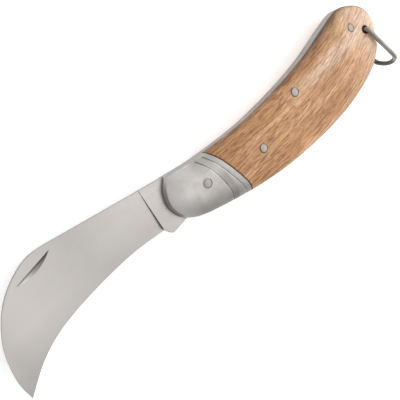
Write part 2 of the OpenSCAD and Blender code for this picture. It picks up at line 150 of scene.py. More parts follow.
def turned(p, degrees):
    c, s = math.cos(math.radians(degrees)), math.sin(math.radians(degrees))
    return np.array((p[0] * c - p[1] * s, p[0] * s + p[1] * c))


def polar(r, degrees):
    return np.array((r * math.cos(math.radians(degrees)), r * math.sin(math.radians(degrees))))


def arc_centre(arc):
    reach, slope, radius = arc
    a = math.radians(slope)
    return (reach - radius * math.cos(a), ARC_Y - radius * math.sin(a))


# The rim of liners, scales and bolsters
FRONT_CORNER = (0.27 - STOP, BACK_Y0 + 1.8)
BACK_SHARES = [
    (0.04, -0.45), (0.25, -1.9), (0.45, -1),
    (0.62, 0.17 * BUTT_RISE), (0.77, 0.71 * BUTT_RISE), (0.87, BUTT_RISE),
]
BACK_POINTS = [FRONT_CORNER] + [(REACH * x, BACK_Y0 + y) for x, y in BACK_SHARES]
BUTT_POINTS = [
    (REACH - 5.5, BACK_Y0 + BUTT_RISE - 2.5),
    (REACH - 1.2, BACK_Y0 + BUTT_RISE - 6.4),
    (REACH, BAIL_HOLE[1] + 1.4),
    (REACH - 1.9, BAIL_HOLE[1] - 4),
    (REACH - 4.8, BAIL_HOLE[1] - 9.2),
]
BELLY_SHARES = [
    (0.88, 0.672), (0.77, 0.855), (0.65, 0.965), (0.5, 1), (0.32, 0.95), (0.16, 0.805), (0, 0.58),
]
BELLY_POINTS = [(REACH * x, -BELLY_DROP * y) for x, y in BELLY_SHARES]
FRONT_POINTS = [
    (-0.56 * FRONT, -7.45), (-0.88 * FRONT, -3.7), (-FRONT, 1.6), (-0.9 * FRONT, 6.8), FRONT_CORNER,
]
rim = smooth(BACK_POINTS + BUTT_POINTS + BELLY_POINTS + FRONT_POINTS, RIM_STEPS)
belly_start = RIM_STEPS * (len(BACK_POINTS) + len(BUTT_POINTS) - 1)
belly_end = len(rim) - RIM_STEPS * (len(FRONT_POINTS) - 1)
back_line = rim[: RIM_STEPS * len(BACK_POINTS) + 1]
belly_line = rim[belly_start:belly_end][::-1]


def back_y(x):
    return np.interp(x, back_line[:, 0], back_line[:, 1])


def belly_y(x):
    return np.interp(x, belly_line[:, 0], belly_line[:, 1])


def spine_y(x):
    return back_y(-STOP) - SPINE_SLOPE * (x + STOP)


NICK_X = -RICASSO - GROUND * NICK_SHARE
NICK_AT = (NICK_X, spine_y(NICK_X) - NICK_BELOW)

# Spokes from the rim to a line down the middle of the handle, fanning out at both ends
FAN_FRONT, FAN_BUTT, FAN_MARGIN = -1.5, REACH - 17, 0.2
stations = np.linspace(FAN_FRONT, FAN_BUTT, STATIONS + 1)
middle = np.c_[stations, (back_y(stations) + belly_y(stations)) / 2]
half = len(rim) // 2
butt_rim = [p for p in rim if p[0] > FAN_BUTT + FAN_MARGIN]
from_belly = np.concatenate([rim[half:-1], rim[:half]])
front_rim = [p for p in from_belly if p[0] < FAN_FRONT - FAN_MARGIN]
spokes = [((x, back_y(x)), i) for i, x in enumerate(stations)]
spokes += [(p, STATIONS) for p in butt_rim]
spokes += [((stations[i], belly_y(stations[i])), i) for i in range(STATIONS, -1, -1)]
spokes += [(p, 0) for p in front_rim]
outline = np.array([s[0] for s in spokes])


# The form of the domed sides, by the place along the handle
def face_h(x):
    return SCALE_T - BUTT_FALL * ease((x - FALL_START) / (FALL_END - FALL_START))


def past_joint(x, run):
    return ease((x - JOINT_END) / run)


def rounding(x):
    if x < JOINT_END:
        return DOME_W + (JOINT_W - DOME_W) * ease(x / JOINT_END)
    return JOINT_W + (ROUND_W - JOINT_W) * past_joint(x, ROUND_RUN)


def wall_height(x):
    return SIDE_H + (ROUND_H - SIDE_H) * past_joint(x, FRONT_RIVET[0])


def start_angle(x):
    return math.radians(START_STEEP - (START_STEEP - START_LOW) * past_joint(x, FRONT_RIVET[0]))


# Meshes
def new_object(name, verts, faces):
    mesh = bpy.data.meshes.new(name)
    mesh.from_pydata([tuple(v) for v in verts], [], faces)
    mesh.validate()
    obj = bpy.data.objects.new(name, mesh)
    scene.collection.objects.link(obj)
    return obj


def outward(obj):
    """Turns all faces of a closed mesh outward."""
    bm = bmesh.new()
    bm.from_mesh(obj.data)
    bmesh.ops.recalc_face_normals(bm, faces=bm.faces)
    bm.to_mesh(obj.data)
    bm.free()


def eased_ring(row, passes):
    """The ring with its corners at the front rounded off."""
    q = np.array(row)
    keep = np.clip((q[:, :1] - FAN_FRONT) / EASE_RUN, 0, 1)
    for _ in range(passes):
        blurred = (q * 2 + np.roll(q, 1, axis=0) + np.roll(q, -1, axis=0)) / 4
        q = keep * q + (1 - keep) * blurred
    return q


def domed_body(name, z0, sign, drop=0.0):
    """The domed form of one side of the handle, over its liner. sign is -1 on the pile side."""
    centres = np.array([middle[i] for _, i in spokes])
    ways = centres - outline
    ways = ways / np.linalg.norm(ways, axis=1)[:, None]
    foot = np.array([wall_height(p[0]) for p in outline])
    lean = np.array([h * math.tan(math.radians(SIDE_LEAN)) for h in foot])
    starts = np.array([start_angle(p[0]) for p in outline])
    round_w = np.array([rounding(p[0]) for p in outline])

    # The leaning wall, then the rounding, then the crown to the middle line
    rings = [np.c_[outline + ways * (lean * t)[:, None], foot * t] for t in (0, 0.5)]
    for k, t in enumerate(np.linspace(0, 1, DOME_RINGS)):
        a = starts + (math.pi / 2 - starts) * t
        inward = lean + round_w * (1 - np.cos(a) / np.cos(starts))
        q = eased_ring(outline + ways * inward[:, None], EASE_PASSES * k)
        rise = (np.sin(a) - np.sin(starts)) / (1 - np.sin(starts))
        rings.append(np.c_[q, foot + (np.array([face_h(x) for x in q[:, 0]]) - foot) * rise])
    last = rings[-1][:, :2]
    for t in np.linspace(0, 1, TOP_RINGS)[1:-1]:
        q = last + (centres - last) * t
        rings.append(np.c_[q, [face_h(x) for x in q[:, 0]]])

    def raised(x, y, h):
        return (x * MM, y * MM, (z0 + sign * (h - drop)) * MM)

    n = len(spokes)
    verts = [raised(*v) for row in rings for v in row]
    verts += [raised(x, y, face_h(x)) for x, y in middle]
    faces = [tuple(range(n - 1, -1, -1))]
    for k in range(len(rings) - 1):
        for i in range(n):
            j = (i + 1) % n
            faces.append((k * n + i, k * n + j, (k + 1) * n + j, (k + 1) * n + i))
    top = len(rings) * n
    for i in range(n):
        j = (i + 1) % n
        a, b = spokes[i][1], spokes[j][1]
        inner = (top + b,) if a == b else (top + b, top + a)
        faces.append((top - n + i, top - n + j, *inner))
    if sign < 0:
        faces = [f[::-1] for f in faces]
    obj = new_object(name, verts, faces)
    outward(obj)
    return obj


def prism(name, points, low, high):
    """An outline in millimetres, raised from one height to another."""
    n = len(points)
    verts = [(p[0] * MM, p[1] * MM, z * MM) for z in (low, high) for p in points]
    faces = [tuple(range(n - 1, -1, -1)), tuple(range(n, 2 * n))]
    faces += [(i, (i + 1) % n, n + (i + 1) % n, n + i) for i in range(n)]
    obj = new_object(name, verts, faces)
    outward(obj)
    return obj


def disc(name, at, r, low, high, sides=PIN_SIDES):
    angles = [2 * math.pi * k / sides for k in range(sides)]
    points = [(at[0] + r * math.cos(a), at[1] + r * math.sin(a)) for a in angles]
    return prism(name, points, low, high)


def arc_disc(name, arc, grow, low, high):
    return disc(name, arc_centre(arc), arc[2] + grow, low, high, ARC_SIDES)


def boolean(obj, tool, how):
    """Joins, cuts or keeps by a tool, which is then gone."""
    mod = obj.modifiers.new("cut", "BOOLEAN")
    mod.operation, mod.solver, mod.object = how, "EXACT", tool
    deps = bpy.context.evaluated_depsgraph_get()
    mesh = bpy.data.meshes.new_from_object(obj.evaluated_get(deps))
    obj.modifiers.clear()
    obj.data = mesh
    mesh.name = obj.name
    bpy.data.objects.remove(tool)


def bores(obj, places, low, high):
    for k, (at, r) in enumerate(places):
        boolean(obj, disc(f"bore_{k}", at, r, low, high), "DIFFERENCE")


def polish(obj, angle):
    """Smooth shading, with the edges sharper than the angle kept."""
    for p in obj.data.polygons:
        p.use_smooth = True
    obj.data.set_sharp_from_angle(angle=math.radians(angle))


# Shader nodes. Each helper adds to a material or to the world and gives back a socket.
def node(mat, kind, **settings):
    made = mat.node_tree.nodes.new("ShaderNode" + kind)
    for name, value in settings.items():
        setattr(made, name, value)
    return made


def link(mat, a, b):
    mat.node_tree.links.new(a, b)


def coordinates(mat, scale=(1, 1, 1)):
    """Object coordinates in millimetres, stretched by a scale."""
    tex = node(mat, "TexCoord")
    mapping = node(mat, "Mapping")
    mapping.inputs["Scale"].default_value = [s / MM for s in scale]
    link(mat, tex.outputs["Object"], mapping.inputs["Vector"])
    return mapping.outputs["Vector"]


def place_of(mat):
    """X, Y and Z in millimetres."""
    parts = node(mat, "SeparateXYZ")
    link(mat, coordinates(mat), parts.inputs[0])
    return parts.outputs


def stretched(mat, vector, scale):
    out = node(mat, "VectorMath", operation="MULTIPLY")
    link(mat, vector, out.inputs[0])
    out.inputs[1].default_value = scale
    return out.outputs[0]


def noise(mat, vector, scale, detail, rough, distortion=0.0):
    n = node(mat, "TexNoise")
    n.inputs["Scale"].default_value = scale
    n.inputs["Detail"].default_value = detail
    n.inputs["Roughness"].default_value = rough
    n.inputs["Distortion"].default_value = distortion
    link(mat, vector, n.inputs["Vector"])
    return n.outputs["Fac"]


def ramp(mat, value, stops):
    r = node(mat, "ValToRGB")
    while len(r.color_ramp.elements) < len(stops):
        r.color_ramp.elements.new(0.5)
    for e, (at, colour) in zip(r.color_ramp.elements, stops):
        e.position = at
        e.color = (*colour, 1)
    link(mat, value, r.inputs["Fac"])
    return r.outputs["Color"]


def spread(mat, value, low, high, to_low, to_high):
    """to_low where the value is at low or past it, to_high at high or past it, even in between."""
    m = node(mat, "MapRange")
    ends = (("From Min", low), ("From Max", high), ("To Min", to_low), ("To Max", to_high))
    for key, end in ends:
        m.inputs[key].default_value = end
    link(mat, value, m.inputs["Value"])
    return m.outputs["Result"]


def mix(mat, factor, a, b, blend="MIX"):
    m = node(mat, "Mix", data_type="RGBA", blend_type=blend, clamp_result=True)
    for socket, value in ((m.inputs["Factor"], factor), (m.inputs["A"], a), (m.inputs["B"], b)):
        if isinstance(value, bpy.types.NodeSocket):
            link(mat, value, socket)
        else:
            socket.default_value = value if socket.type == "VALUE" else (*value, 1)
    return m.outputs["Result"]


def layered(mat, tone, layers, blend="MIX"):
    """A tone with layers over it, each a mask and a colour."""
    for mask, colour in layers:
        tone = mix(mat, mask, tone, colour, blend)
    return tone


def math_node(mat, how, a, b=0.0):
    m = node(mat, "Math", operation=how)
    for socket, value in ((m.inputs[0], a), (m.inputs[1], b)):
        if isinstance(value, bpy.types.NodeSocket):
            link(mat, value, socket)
        else:
            socket.default_value = value
    return m.outputs[0]


def product(mat, first, *more):
    for value in more:
        first = math_node(mat, "MULTIPLY", first, value)
    return first


def greatest(mat, first, *more):
    for value in more:
        first = math_node(mat, "MAXIMUM", first, value)
    return first


def minus(mat, a, b):
    return math_node(mat, "SUBTRACT", a, b)


def absolute(mat, a):
    return math_node(mat, "ABSOLUTE", a)


def bump(mat, height, distance, normal=None):
    b = node(mat, "Bump")
    b.inputs["Strength"].default_value = 1.0
    b.inputs["Distance"].default_value = distance * MM
    link(mat, height, b.inputs["Height"])
    if normal is not None:
        link(mat, normal, b.inputs["Normal"])
    return b.outputs["Normal"]


def side_faces(mat, low, high):
    """1 on faces that stand upright, 0 on faces that lie flat."""
    normal = node(mat, "NewGeometry")
    parts = node(mat, "SeparateXYZ")
    link(mat, normal.outputs["Normal"], parts.inputs[0])
    return spread(mat, absolute(mat, parts.outputs["Z"]), low, high, 1, 0)


def flat_faces(mat, low, high):
    """1 on faces that lie flat, 0 on faces that stand upright."""
    return spread(mat, side_faces(mat, low, high), 0.0, 1.0, 1.0, 0.0)


def distance_to(mat, at):
    """Distance in millimetres from an upright line through a point."""
    away = node(mat, "VectorMath", operation="DISTANCE")
    link(mat, stretched(mat, coordinates(mat), (1, 1, 0)), away.inputs[0])
    away.inputs[1].default_value = (at[0], at[1], 0)
    return away.outputs["Value"]


def arc_distance(mat, arc):
    """Distance in millimetres outward from an arc on the bolster."""
    return minus(mat, distance_to(mat, arc_centre(arc)), arc[2])


# Materials, each named after the record's slot
FINISH = "_finish"
# Dark tone for painted shade on the steels
PAINTED_SHADE_TONE = (0.12, 0.105, 0.095)
# Lighter tone for a painted sheen on the blade's belly
BELLY_PAINTED_SHEEN = (0.62, 0.59, 0.564)
# Tones for a painted highlight and a painted shade line in the nail nick
NICK_PAINTED_HIGHLIGHT = (0.93, 0.91, 0.88)
NICK_PAINTED_SHADE_LINE = (0.025, 0.022, 0.02)
# Tones for painted highlights on the bolster's dome and in its grooves
BOLSTER_PAINTED_HIGHLIGHT = (0.80, 0.77, 0.745)
GROOVE_PAINTED_HIGHLIGHT = (0.90, 0.88, 0.86)
DRAWN_SHARE, DRAWN_ROUGH = 0.35, 0.03
# How far the painted shadow round each pin is shifted
CRESCENT_SHIFT = (-0.42, 0.05)


def new_material(name):
    mat = bpy.data.materials.new(name + FINISH)
    mat.use_nodes = True
    return mat, mat.node_tree.nodes["Principled BSDF"]


def crescent(mat, at, depth):
    """A painted shadow round a pin, widest on its blade side."""
    away = distance_to(mat, (at[0] + CRESCENT_SHIFT[0], at[1] + CRESCENT_SHIFT[1]))
    return spread(mat, away, PIN_R + 0.05, PIN_R + 0.4, depth, 0.0)


def steel(name, light, dark, rough, grain, cloud=0.12, scratch=0.0008, edges=None, marks=None):
    """Satin steel: cloudy tone and fine drawn lines along the grain. edges is the darker tone of
    upright faces, which is painted shade, and the limits of side_faces, and marks gives the layers
    of painted light and shade that go over all."""
    mat, shader = new_material(name)
    shader.inputs["Metallic"].default_value = 1.0
    clouds = noise(mat, coordinates(mat), cloud, 3, 0.55)
    lines = noise(mat, coordinates(mat, grain), 1.0, 3, 0.6)
    drawn = mix(mat, spread(mat, lines, 0.3, 0.7, 0, 1), dark, light)
    tone = mix(mat, spread(mat, clouds, 0.35, 0.65, 0, 1), dark, light)
    tone = mix(mat, DRAWN_SHARE, tone, drawn)
    if edges:
        tone = mix(mat, side_faces(mat, *edges[1:]), tone, edges[0])
    if marks:
        tone = layered(mat, tone, marks(mat))
    link(mat, tone, shader.inputs["Base Color"])
    smudge = spread(mat, noise(mat, coordinates(mat), 0.5, 4, 0.6), 0.3, 0.7, *rough)
    ridges = spread(mat, lines, 0.3, 0.7, -DRAWN_ROUGH, DRAWN_ROUGH)
    worn = math_node(mat, "ADD", smudge, ridges)
    link(mat, worn, shader.inputs["Roughness"])
    link(mat, bump(mat, lines, scratch), shader.inputs["Normal"])
    return mat


def blade_marks(mat):
    """A painted sheen makes the belly brighter to the tip, and painted shade makes the back duller.
    The nail nick's slope has painted shade along its straight wall and in its upper half, and a
    painted highlight at its lower end."""
    x, y, _ = place_of(mat)
    # Painted sheen over the belly towards the tip, and painted shade towards the back
    belly = product(mat, spread(mat, x, -70, -46, 1.0, 0.0), spread(mat, y, -13, 3, 0.0, 1.0),
                    spread(mat, x, -86, -76, 0.3, 1.0), flat_faces(mat, 0.6, 0.8))
    painted_dark = product(mat, spread(mat, x, -52, -42, 0.0, 1.0), spread(mat, y, 0, 8, 0.13, 0.0))

    slope = minus(mat, side_faces(mat, 0.96, 0.992), side_faces(mat, 0.6, 0.8))
    below = node(mat, "VectorMath", operation="DOT_PRODUCT")
    link(mat, coordinates(mat), below.inputs[0])
    nick_turn = math.radians(NICK_TURN)
    down = Vector((math.sin(nick_turn), -math.cos(nick_turn), 0))
    below.inputs[1].default_value = down
    wall = down.dot(Vector((*NICK_AT, 0)))
    # Painted highlight at the nick's lower end, painted shade in its upper half and a painted shade
    # line along its wall
    painted_light = product(mat, slope, spread(mat, x, -68, -61, 1.0, 0.0))
    dark = product(mat, spread(mat, x, -66, -57, 0.0, 0.75), slope)
    line = product(mat, spread(mat, below.outputs["Value"], wall, wall + 0.95, 1.0, 0.0),
                   spread(mat, x, -71, -66, 0.5, 1.0), slope)
    return [(belly, BELLY_PAINTED_SHEEN), (painted_dark, PAINTED_SHADE_TONE),
            (painted_light, NICK_PAINTED_HIGHLIGHT), (dark, PAINTED_SHADE_TONE), (line, NICK_PAINTED_SHADE_LINE)]


def bolster_marks(mat):
    """Painted highlights at the front and the back, painted shade beside the grooves, to the belly
    and round the pivot, with painted highlight lines in the grooves."""
    x, y, _ = place_of(mat)
    # Painted highlights on the dome's front and back
    front = spread(mat, x, -12.5, -6, 0.9, 0.0)
    back = product(mat, spread(mat, y, 5, 8, 0.0, 0.45), spread(mat, x, -2, 2, 1.0, 0.0))
    painted_light = product(mat, greatest(mat, front, back), flat_faces(mat, 0.25, 0.5))
    # Painted shade to the belly and a painted shadow round the pivot, then painted shade bands at
    # the grooves
    painted_dark = [spread(mat, y, 1.5, -7, 0.0, 0.32), crescent(mat, PIVOT, 0.75)]
    lines = []
    # For each groove: the width of its band of painted shade, the heights in y between which that
    # deepens, its greatest depth, and the strength of its painted highlight line at y = 3, where it
    # starts to fade to the back
    bands = [(1.6, (6, -8), 0.45, 0.40), (3.4, (1.5, -2.5), 0.52, 0.55)]
    for arc, (width, run, deepest, line) in zip(GROOVE_ARCS, bands):
        away = arc_distance(mat, arc)
        painted_dark.append(product(mat, spread(mat, away, -0.3, 0.0, 0.0, 1.0),
                            spread(mat, away, width - 1, width, 1.0, 0.0),
                            spread(mat, y, *run, 0.05, deepest)))
        lines.append(product(mat, spread(mat, y, -5, 3, 0.3, line),
                             spread(mat, y, 3, 6, 1.0, 0.0),
                             spread(mat, absolute(mat, away), 0.2, 0.4, 1.0, 0.0)))
    return [(painted_light, BOLSTER_PAINTED_HIGHLIGHT), (greatest(mat, *painted_dark), PAINTED_SHADE_TONE),
            (greatest(mat, *lines), GROOVE_PAINTED_HIGHLIGHT)]


def bail_marks(mat):
    """Painted shade: the wire is darker away from the mark side."""
    return [(spread(mat, place_of(mat)["Z"], 9.6, 11.4, 0.93, 0.0), PAINTED_SHADE_TONE)]


# The upright faces' tone in these steels is painted shade.
BLADE_STEEL = steel(
    "blade_steel", (0.475, 0.453, 0.433), (0.435, 0.414, 0.396), (0.36, 0.42), (0.04, 0.5, 0.5),
    cloud=0.06, scratch=0.0004, edges=((0.30, 0.29, 0.28), 0.25, 0.7), marks=blade_marks)
BOLSTER_STEEL = steel(
    "bolster_steel", (0.54, 0.518, 0.496), (0.42, 0.40, 0.382), (0.50, 0.60), (0.35, 0.9, 0.9),
    cloud=0.16, scratch=0.003, edges=((0.40, 0.37, 0.35), 0.25, 0.5), marks=bolster_marks)
SPRING_STEEL = steel(
    "spring_steel", (0.385, 0.365, 0.355), (0.30, 0.285, 0.275), (0.42, 0.55), (0.05, 3.0, 3.0))
LINER_STEEL = steel(
    "liner_steel", (0.40, 0.38, 0.365), (0.31, 0.295, 0.285), (0.42, 0.55), (0.05, 3.0, 3.0))
RIVET_STEEL = steel(
    "rivet_steel", (0.43, 0.395, 0.36), (0.36, 0.33, 0.30), (0.50, 0.60), (1.5, 1.5, 1.5),
    cloud=0.5, edges=((0.24, 0.225, 0.21), 0.3, 0.8))
BAIL_WIRE = steel(
    "bail_wire", (0.42, 0.40, 0.375), (0.28, 0.265, 0.24), (0.42, 0.55), (0.3, 3.0, 3.0),
    cloud=0.3, marks=bail_marks)

# Oak: the tones of its bands, and its figures, each with its stretch along, across and through
# the grain, its detail, its roughness and its distortion
OAK_TONES = [
    (0.34, (0.51, 0.245, 0.098)), (0.46, (0.58, 0.295, 0.126)),
    (0.56, (0.67, 0.365, 0.175)), (0.66, (0.79, 0.475, 0.250)),
]
OAK_BANDS = ((0.03, 0.34, 0.2), 4, 0.6, 0.5)
OAK_PATCHES = ((0.06, 0.22, 0.15), 3, 0.5, 0.4)
OAK_STREAKS = ((0.08, 1.1, 0.4), 5, 0.7, 0.15)
OAK_FLECKS = ((0.14, 1.9, 0.6), 4, 0.7, 0.15)
OAK_DASHES = ((0.34, 2.7, 0.8), 3, 0.6, 0.1)
OAK_PORES = ((0.15, 2.0, 0.6), 4, 0.75, 0.15)
GRAIN_START, GRAIN_BEND = 30, 0.0026
# Dark tone for the joint's dark lines, and for painted shade and painted shadows on the oak
OAK_DARK_AND_PAINTED_SHADE = (0.060, 0.026, 0.012)


def grain_space(mat):
    """Millimetres along and across the grain, which bends with the handle towards the butt."""
    x, y, z = place_of(mat)
    past = math_node(mat, "MAXIMUM", minus(mat, x, GRAIN_START), 0.0)
    straight = minus(mat, y, product(mat, past, past, GRAIN_BEND))
    joined = node(mat, "CombineXYZ")
    for value, socket in zip((x, straight, z), joined.inputs):
        link(mat, value, socket)
    return joined.outputs[0]


def oak_wood(name):
    """Oak: bands, patches, streaks, flecks, dashes and pores along the handle, warm at the bolster
    and paler to the butt, with a painted sheen on the crown, dark lines at the joint, painted shade
    along the liners and painted shadows round the pins."""
    mat, shader = new_material(name)
    grain = grain_space(mat)
    bands, patches, streaks, flecks, dashes, pores = [
        noise(mat, stretched(mat, grain, stretch), 1.0, *rest) for stretch, *rest in
        (OAK_BANDS, OAK_PATCHES, OAK_STREAKS, OAK_FLECKS, OAK_DASHES, OAK_PORES)
    ]
    x, y, z = place_of(mat)

    # Bands, with yellow and pink patches, and warm wood at the bolster. The crown gets a painted
    # sheen and the butt is pale, and crown is the height in y over the crown's line.
    crown = minus(mat, y, spread(mat, x, 40, 85, 2.0, 3.6))
    # pale is the mask of the painted sheen on the crown
    pale = product(mat, spread(mat, absolute(mat, crown), 0.5, 4.8, 1.0, 0.0),
                   spread(mat, x, 38, 70, 0.0, 0.62))
    tone = layered(mat, ramp(mat, bands, OAK_TONES), [
        (spread(mat, patches, 0.50, 0.64, 0.0, 0.45), (0.56, 0.340, 0.130)),
        (spread(mat, patches, 0.48, 0.36, 0.0, 0.22), (0.80, 0.455, 0.270)),
        (spread(mat, x, 22, 42, 0.26, 0.0), (0.32, 0.140, 0.060)),
        (pale, (0.92, 0.680, 0.490)),
        (spread(mat, x, 60, 98, 0.0, 0.25), (0.82, 0.560, 0.360)),
        (spread(mat, x, 82, 94, 0.0, 0.40), (1.0, 0.780, 0.570)),
    ])

    # Dark and light streaks, flecks and dashes, of which the dark ones weaken at the butt, a
    # cooler hue past the bolster, and pores, which are darkest near it
    strong = spread(mat, x, 78, 92, 0.95, 0.55)
    many = spread(mat, x, 10, 90, 1.0, 0.55)
    tone = layered(mat, tone, [
        (product(mat, spread(mat, streaks, 0.40, 0.50, 1.0, 0.0), strong), (0.66, 0.560, 0.480)),
        (spread(mat, flecks, 0.52, 0.60, 0.0, 0.95), (1.24, 1.340, 1.450)),
        (product(mat, spread(mat, dashes, 0.52, 0.60, 0.0, 0.75), strong), (0.72, 0.630, 0.560)),
        (spread(mat, dashes, 0.46, 0.38, 0.0, 0.75), (1.14, 1.200, 1.260)),
        (spread(mat, x, 40, 56, 0.0, 1.0), (0.99, 1.0, 1.07)),
        (product(mat, spread(mat, pores, 0.545, 0.60, 0.0, 1.0), many), (0.50, 0.400, 0.330)),
    ], "MULTIPLY")

    # Dark places: the joint with the bolster, painted shade at the foot over the liner, painted
    # shade under the back between the middle and the end rivet, painted shadows round the pins, and
    # the bail's hole
    joint = minus(mat, arc_distance(mat, JOINT_ARC), JOINT_GAP)
    height = minus(mat, absolute(mat, minus(mat, z, FACE_Z)), SCALE_Z)
    height = product(mat, height, spread(mat, x, 82, 93, 1.0, 2.2))
    foot = product(mat, spread(mat, height, 1.1, 3.2, 0.88, 0.0),
                   spread(mat, crown, 0, 3, 0.4, 1.0), spread(mat, x, 56, 72, 0.62, 1.0))
    shade = product(mat, spread(mat, crown, 3.5, 7.5, 0.0, 0.2),
                    spread(mat, x, 84, 76, 0.0, 1.0), spread(mat, x, 60, 70, 0.0, 1.0))
    marks = [spread(mat, joint, 0.18, 0.6, 1.0, 0.0), foot, shade]
    marks += [crescent(mat, at, 0.85) for at in RIVETS]
    marks += [spread(mat, distance_to(mat, BAIL_HOLE), PIN_R, PIN_R + 0.6, 0.95, 0.0)]
    tone = mix(mat, greatest(mat, *marks), tone, OAK_DARK_AND_PAINTED_SHADE)

    link(mat, tone, shader.inputs["Base Color"])
    link(mat, spread(mat, streaks, 0.3, 0.7, 0.48, 0.6), shader.inputs["Roughness"])
    shader.inputs["Specular IOR Level"].default_value = 0.3
    shader.inputs["Coat Weight"].default_value = 0.12
    shader.inputs["Coat Roughness"].default_value = 0.4
    relief = bump(mat, streaks, 0.05, bump(mat, pores, 0.05))
    link(mat, relief, shader.inputs["Normal"])
    return mat


OAK = oak_wood("oak")


def dress(obj, mat, body=None, replaced=None, angle=28):
    """A finish. A new piece also rides on a body and stands for a node."""
    obj.data.materials.clear()
    obj.data.materials.append(mat)
    polish(obj, angle)
    if body:
        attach(obj, body)
        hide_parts(replaced)


# Scales, bolsters and liners, mirrored to the pile side
for side, sign in (("mark", 1), ("pile", -1)):
    z0 = FACE_Z + sign * SCALE_Z
    low, high = sorted((z0 - sign * PAST, z0 + sign * (SCALE_T + PAST)))
    scale = domed_body(side + "_scale_oak", z0, sign)
    boolean(scale, arc_disc("joint", JOINT_ARC, JOINT_GAP, low, high), "DIFFERENCE")
    bores(scale, [(at, PIN_R + PIN_GAP) for at in RIVETS] + [(BAIL_HOLE, PIN_R)], low, high)
    dress(scale, OAK, "handle", side + "_scale")

    bolster = domed_body(side + "_bolster_steel", z0, sign)
    boolean(bolster, arc_disc("joint", JOINT_ARC, 0, low, high), "INTERSECT")
    start, end = sorted((z0 + sign * SIDE_H, z0 + sign * (SCALE_T + PAST)))
    for arc in GROOVE_ARCS:
        ring = arc_disc("ring", arc, GROOVE_W / 2, start, end)
        ring_inner = arc_disc("ring_inner", arc, -GROOVE_W / 2, start - PAST, end + PAST)
        boolean(ring, ring_inner, "DIFFERENCE")
        boolean(ring, domed_body("lowered", z0, sign, GROOVE_DEPTH), "DIFFERENCE")
        boolean(bolster, ring, "DIFFERENCE")
    bores(bolster, [(PIVOT, PIN_R + PIN_GAP)], low, high)
    dress(bolster, BOLSTER_STEEL, "handle", side + "_bolster")

    z1 = FACE_Z + sign * LINER_Z
    low, high = sorted((z1, z1 + sign * LINER_T))
    liner = prism(side + "_liner_plate", outline, low, high)
    pins = [(at, PIN_R) for at in (PIVOT, *RIVETS)]
    bores(liner, pins + [(BAIL_HOLE, BAIL_BORE)], low - PAST, high + PAST)
    dress(liner, LINER_STEEL, "handle", side + "_liner")


def flat_y(x, normal):
    """Height of a flat of the tang at x."""
    n = math.radians(normal)
    return (TANG_FLAT - x * math.cos(n)) / math.sin(n)


def tang_arc():
    """The tang's end from the closed flat round to the open one."""
    flats = ((OPEN_NORMAL, TANG_FLAT), (CLOSED_NORMAL, TANG_FLAT), (HALF_NORMAL, HALF_FLAT))
    out = []
    for a in np.arange(-89, 89.1, TANG_DEGREES):
        r = TANG_R
        for normal, flat in flats:
            facing = math.cos(math.radians(a - normal))
            if facing > 0.01:
                r = min(r, flat / facing)
        out.append(polar(r, a))
    return out


def plate_outline(top):
    """The tang and the ricasso, up to the corner top."""
    points = [(0, flat_y(0, OPEN_NORMAL)), (-STOP, flat_y(-STOP, OPEN_NORMAL)),
              (-STOP, back_y(-STOP)), top, NOTCH]
    points += [KICK + polar(KICK_R, a) for a in range(200, 276, KICK_DEGREES)]
    points += [KICK + (1.8, -KICK_R * 0.85), (-STOP - 1.6, flat_y(-STOP, CLOSED_NORMAL) + 0.9),
               (-TANG_R, flat_y(-TANG_R, CLOSED_NORMAL) + 0.15),
               (-TANG_R + 2, flat_y(-TANG_R + 2, CLOSED_NORMAL)), (0, flat_y(0, CLOSED_NORMAL))]
    return points + tang_arc()


def ground_blade(top):
    """The ground part, ruled from the back to the edge."""
    starts = [top[0] + (TIP[0] - top[0]) * f for f in (0, 0.13, 0.27, 0.41)]
    spine = [(x, spine_y(x)) for x in starts]
    edge = [NOTCH + (-0.1, -0.6), (NOTCH[0] - 5.5, -EDGE_DROP - 0.7),
            (NOTCH[0] - 13, -EDGE_DROP), (NOTCH[0] - 22, -EDGE_DROP)]
    for back_x, back_drop, edge_x, edge_drop in BLADE_ROWS:
        spine.append((-RICASSO - GROUND * back_x, HUMP - (HUMP + TIP_DROP) * back_drop))
        edge.append((-RICASSO - GROUND * edge_x, -EDGE_DROP - (TIP_DROP - EDGE_DROP) * edge_drop))
    spine = smooth(spine + [TIP + (0, 0.12)], BLADE_STEPS)
    edge = smooth(edge + [TIP], BLADE_STEPS)
    # The first section reaches into the plate
    for row in (spine, edge):
        row[0] += (0.4, 0)
    n, shares = len(spine), np.linspace(0, 1, BLADE_SHARES)
    verts = []
    for i in range(n):
        thin = ease((i / (n - 1) - THIN_FROM) / (1 - THIN_FROM))
        back = (PLATE_T / 2 - SPINE_LOSS) * (1 - thin) + PLATE_T / 2 * TIP_THIN * thin
        narrow = EDGE_T / 2 + WEDGE * float(np.linalg.norm(spine[i] - edge[i]))
        back = (back ** -SOFTNESS + narrow ** -SOFTNESS) ** (-1 / SOFTNESS)
        line = [(spine[i] * (1 - f) + edge[i] * f, back * (1 - f) + EDGE_T / 2 * f) for f in shares]
        verts += [(q[0] * MM, q[1] * MM, (FACE_Z + t) * MM) for q, t in line]
        verts += [(q[0] * MM, q[1] * MM, (FACE_Z - t) * MM) for q, t in reversed(line)]
    m = 2 * len(shares)
    faces = [tuple(range(m)), tuple(range((n - 1) * m, n * m))[::-1]]
    for i in range(0, (n - 1) * m, m):
        for k in range(m):
            after = (k + 1) % m
            faces.append((i + k, i + after, i + m + after, i + m + k))
    ground = new_object("blade_ground", verts, faces)
    outward(ground)
    return ground


